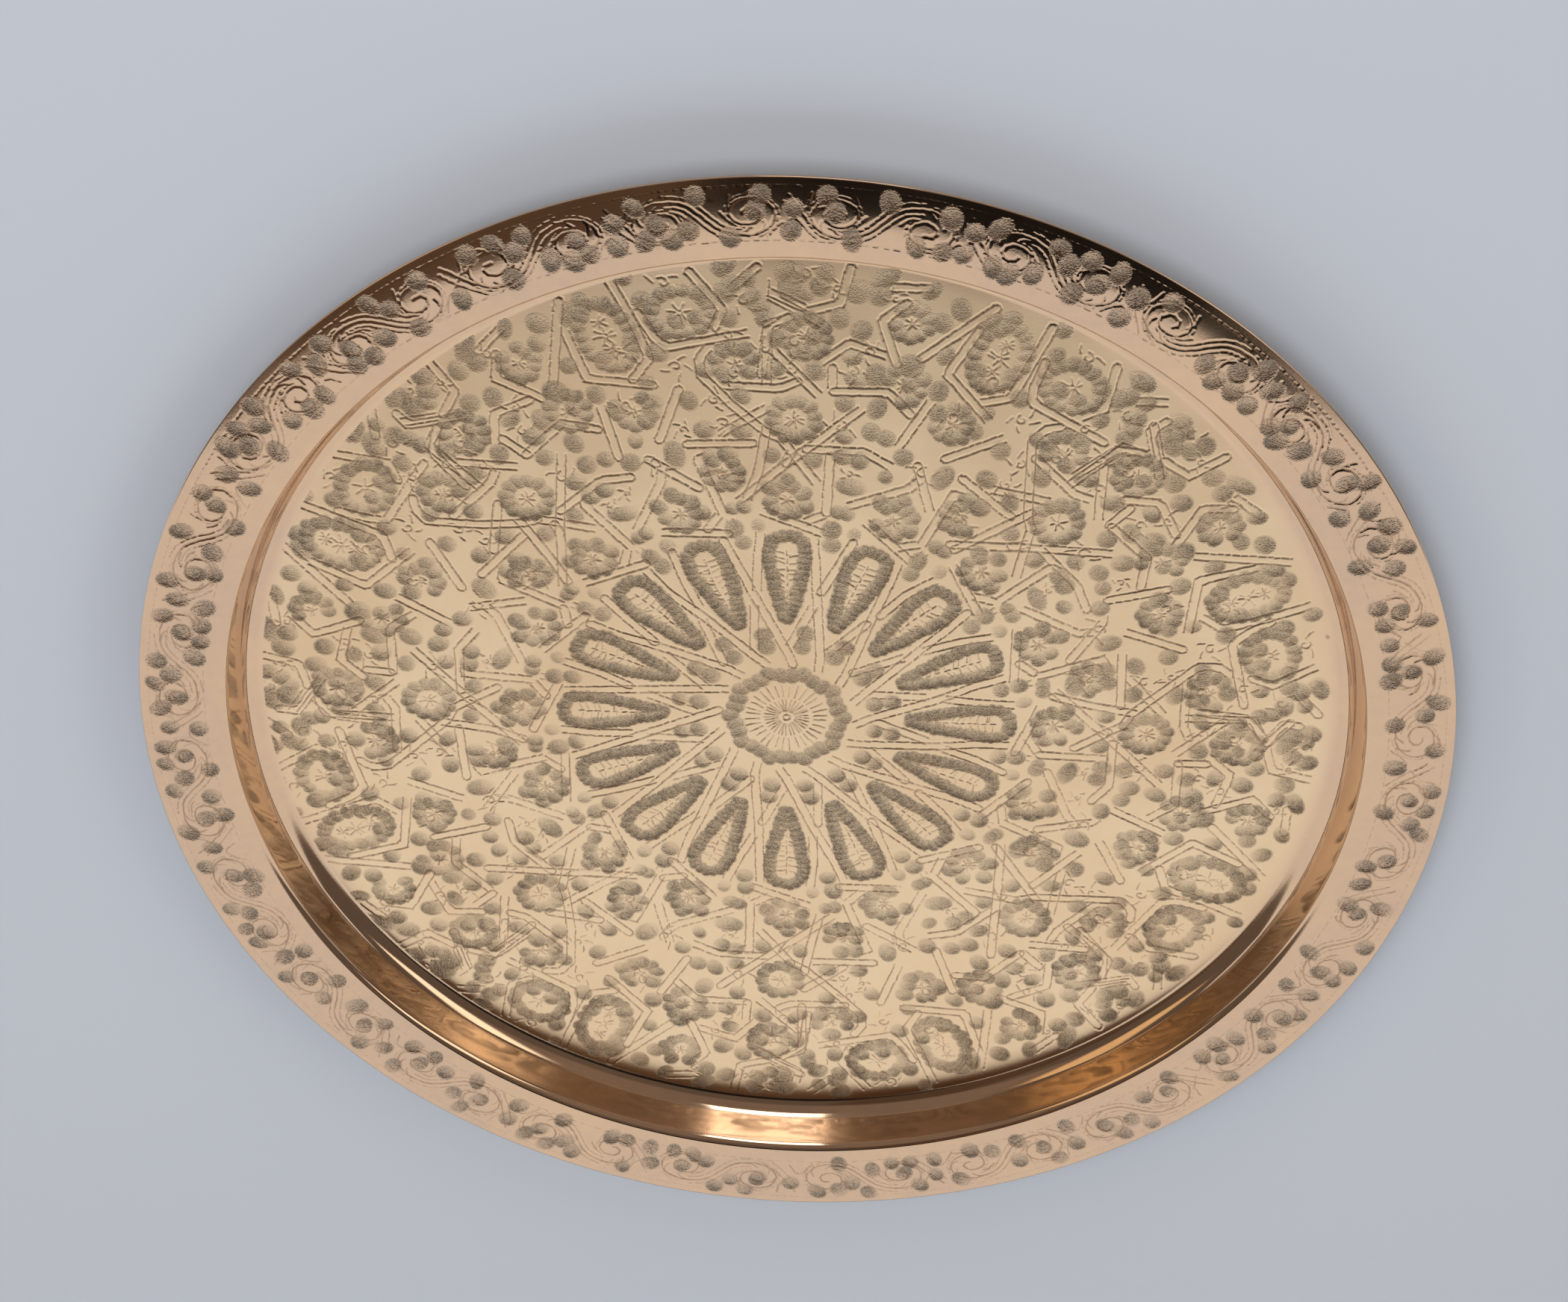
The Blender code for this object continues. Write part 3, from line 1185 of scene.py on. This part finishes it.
def copper_material():
    """Polished gold-toned copper: soft shine on the floor, mirror on the turned wall."""
    material, nodes = new_material("chased_copper")
    place = nodes.add("ShaderNodeTexCoord").outputs["Object"]
    parts = nodes.add("ShaderNodeSeparateXYZ", {0: place}).outputs
    flat = nodes.add("ShaderNodeCombineXYZ", {0: parts[0], 1: parts[1]}).outputs[0]
    away = nodes.add("ShaderNodeVectorMath", {0: flat}, operation="LENGTH").outputs["Value"]
    matting = nodes.attribute("matting")
    cut = nodes.attribute("cut")
    border = nodes.ranged(away, FLOOR_RADIUS - 0.004, FLOOR_RADIUS + 0.002)

    # Clouds and fine specks of a warmer tone.
    cloud = nodes.noise(place, 22.0, 3.0)
    fine = nodes.noise(place, 260.0, 3.0, 0.6)
    colour = nodes.mixed(border, GOLD_COPPER, PINK_COPPER)
    colour = nodes.mixed(nodes.ranged(cloud, 0.42, 0.70, 0.0, 0.30), colour, WARM_COPPER)
    colour = nodes.mixed(nodes.ranged(fine, 0.35, 0.75, 0.0, 0.22), colour, WARM_COPPER)

    # Grey matting, with the punch's points lighter than the pits between them.
    cells = {"Vector": place, "Scale": 1.0 / MATTING_PITCH}
    points = nodes.add("ShaderNodeTexVoronoi", cells, feature="F1").outputs["Distance"]
    pits = nodes.ranged(points, 0.1, 0.6)
    patches = nodes.ranged(nodes.noise(place, 520.0, 2.0), 0.30, 0.66, 0.70, 1.15)
    shade = nodes.maths("MULTIPLY", matting, patches)
    shade = nodes.maths("MULTIPLY", shade, nodes.ranged(pits, 0.0, 1.0, 1.20, 0.62))
    colour = nodes.mixed(shade, colour, MATTED_COPPER)

    # Dirt in the lines, and a few stains.
    colour = nodes.mixed(nodes.ranged(cut, 0.18, 0.85, 0.0, 0.88), colour, LINE_COPPER)
    spots = nodes.noise(place, 75.0, 1.0)
    colour = nodes.mixed(nodes.ranged(spots, 0.800, 0.815), colour, STAIN_COPPER)

    roughness = nodes.ranged(border, 0.0, 1.0, FLOOR_ROUGHNESS, BORDER_ROUGHNESS)
    roughness = nodes.maths("ADD", roughness, nodes.ranged(cloud, 0.3, 0.7, -0.02, 0.05))
    roughness = nodes.maths("ADD", roughness, nodes.maths("MULTIPLY", matting, MATTING_ROUGHNESS))

    height = nodes.maths("MULTIPLY", pits, matting)
    pitted = {"Height": height, "Strength": 0.80, "Distance": MATTING_RELIEF}
    normal = nodes.add("ShaderNodeBump", pitted).outputs[0]
    grain = nodes.noise(place, 1500.0, 2.0, 0.7)
    grained = {"Height": grain, "Strength": 0.10, "Distance": GRAIN_RELIEF, "Normal": normal}
    normal = nodes.add("ShaderNodeBump", grained).outputs[0]

    finish = {"Base Color": colour, "Metallic": 1.0, "Roughness": roughness, "Normal": normal}
    shader = nodes.add("ShaderNodeBsdfPrincipled", finish)
    nodes.add("ShaderNodeOutputMaterial", {0: shader.outputs[0]})
    return material


def floor_material():
    """Plain pale ground."""
    material, nodes = new_material("pale_ground")
    finish = {"Base Color": GROUND, "Roughness": 0.9, "Specular IOR Level": 0.2}
    shader = nodes.add("ShaderNodeBsdfPrincipled", finish)
    nodes.add("ShaderNodeOutputMaterial", {0: shader.outputs[0]})
    return material


# ---- light, floor, camera

# Parts of the studio as seen in the metal: bounds of the angle from straight up
# towards the camera's side, bounds of the angle to the side, softness, colour.
STUDIO = (
    (-29.4, 112.0, -80.0, 80.0, 3.0, (0.16, 0.13, 0.11)),
    (-31.3, 30.0, 4.7, 20.0, 1.0, (0.12, 0.080, 0.056)),
    (-31.3, -14.0, -9.0, 4.7, 1.0, (0.016, 0.014, 0.013)),
    (16.0, 112.0, -45.0, 40.0, 10.0, (0.27, 0.215, 0.18)),
    (5.0, 70.0, -58.0, -42.0, 5.0, (2.0, 1.85, 1.6)),
    (5.0, 70.0, 42.0, 60.0, 5.0, (1.1, 0.80, 0.46)),
    (64.0, 91.0, -13.0, 7.0, 0.8, (3.6, 3.5, 3.4)),
)
BACKDROP = (0.61, 0.66, 0.75)
ROOM = (0.96, 0.95, 0.94)
KEY_POWER = 22.5  # watts
KEY_PLACE = (0.3, -1.2, 2.0)
KEY_SIZE = 1.6
GROUND = (0.62, 0.68, 0.77, 1.0)
GROUND_REACH = 6.0

CAMERA_LENS = 80.57  # millimetres, on a 36 mm wide sensor
CAMERA_PLACE = (-0.0407, -0.6474, 0.7851)  # from the middle of the rim's plane
CAMERA_AIM = (0.00236, -0.03548, 0.0)
CAMERA_UP = (0.0336, -0.7892, -0.6132)


def key_light():
    """Large soft lamp over the tray, out of the metal's reflections."""
    data = bpy.data.lights.new("key", "AREA")
    data.shape = "DISK"
    data.size = KEY_SIZE
    data.energy = KEY_POWER
    data.color = (0.93, 0.96, 1.0)
    lamp = bpy.data.objects.new("key", data)
    lamp.location = KEY_PLACE
    lamp.rotation_mode = "QUATERNION"
    lamp.rotation_quaternion = Vector(lamp.location).to_track_quat("Z", "Y")
    lamp.visible_glossy = False
    bpy.context.scene.collection.objects.link(lamp)


def studio_light():
    """World that the camera sees as a pale backdrop and the metal sees as a studio."""
    world = bpy.data.worlds.new("studio")
    bpy.context.scene.world = world
    world.use_nodes = True
    nodes = Nodes(world.node_tree)
    direction = nodes.add("ShaderNodeTexCoord").outputs["Generated"]
    x, y, z = nodes.add("ShaderNodeSeparateXYZ", {0: direction}).outputs
    towards = nodes.maths("ARCTAN2", nodes.maths("MULTIPLY", y, -1.0), z)
    towards = nodes.maths("DEGREES", towards)
    sideways = nodes.maths("DEGREES", nodes.maths("ARCSINE", x))
    colour = (*ROOM, 1.0)
    for low, high, left, right, soft, tone in STUDIO:
        mask = nodes.ranged(towards, low - soft / 2.0, low + soft / 2.0)
        for value, start, end in (
            (towards, high + soft / 2.0, high - soft / 2.0),
            (sideways, left - soft / 2.0, left + soft / 2.0),
            (sideways, right + soft / 2.0, right - soft / 2.0),
        ):
            mask = nodes.maths("MULTIPLY", mask, nodes.ranged(value, start, end))
        colour = nodes.mixed(mask, colour, (*tone, 1.0))
    seen = nodes.add("ShaderNodeLightPath").outputs["Is Camera Ray"]
    colour = nodes.mixed(seen, colour, (*BACKDROP, 1.0))
    background = nodes.add("ShaderNodeBackground", {"Color": colour, "Strength": 1.0})
    nodes.add("ShaderNodeOutputWorld", {0: background.outputs[0]})


def add_floor():
    """Large plain floor under the tray."""
    mesh = bpy.data.meshes.new("floor")
    sides = ((-1.0, -1.0), (1.0, -1.0), (1.0, 1.0), (-1.0, 1.0))
    corners = [(x * GROUND_REACH, y * GROUND_REACH, 0.0) for x, y in sides]
    mesh.from_pydata(corners, [], [(0, 1, 2, 3)])
    mesh.materials.append(floor_material())
    floor = bpy.data.objects.new("floor", mesh)
    bpy.context.scene.collection.objects.link(floor)


def add_camera():
    """Camera from above, turned so that the tray's near side is at the top of the picture."""
    data = bpy.data.cameras.new("camera")
    data.lens = CAMERA_LENS
    data.sensor_width = 36.0
    data.clip_start = 0.01
    data.clip_end = 50.0
    camera = bpy.data.objects.new("camera", data)
    rim = Vector((0.0, 0.0, SHEET_THICKNESS + WELL_DEPTH))
    place = rim + Vector(CAMERA_PLACE)
    back = (place - rim - Vector(CAMERA_AIM)).normalized()
    right = Vector(CAMERA_UP).cross(back).normalized()
    up = back.cross(right)
    camera.matrix_world = Matrix.Translation(place) @ Matrix((right, up, back)).transposed().to_4x4()
    bpy.context.scene.collection.objects.link(camera)
    bpy.context.scene.camera = camera


def build_tray():
    """The visible tray, in place of the plain CAD sheet."""
    relief = Relief(RIM_RADIUS)
    floor_pattern(relief)
    fill_gaps(relief)
    border_pattern(relief)
    mesh = build_sheet(relief)
    mesh.materials.append(copper_material())
    tray = bpy.data.objects.new("tray", mesh)
    bpy.context.scene.collection.objects.link(tray)
    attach(tray, "root")
    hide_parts("tray_sheet")


bpy.context.scene.view_settings.view_transform = "Standard"
add_camera()
studio_light()
key_light()
add_floor()
build_tray()
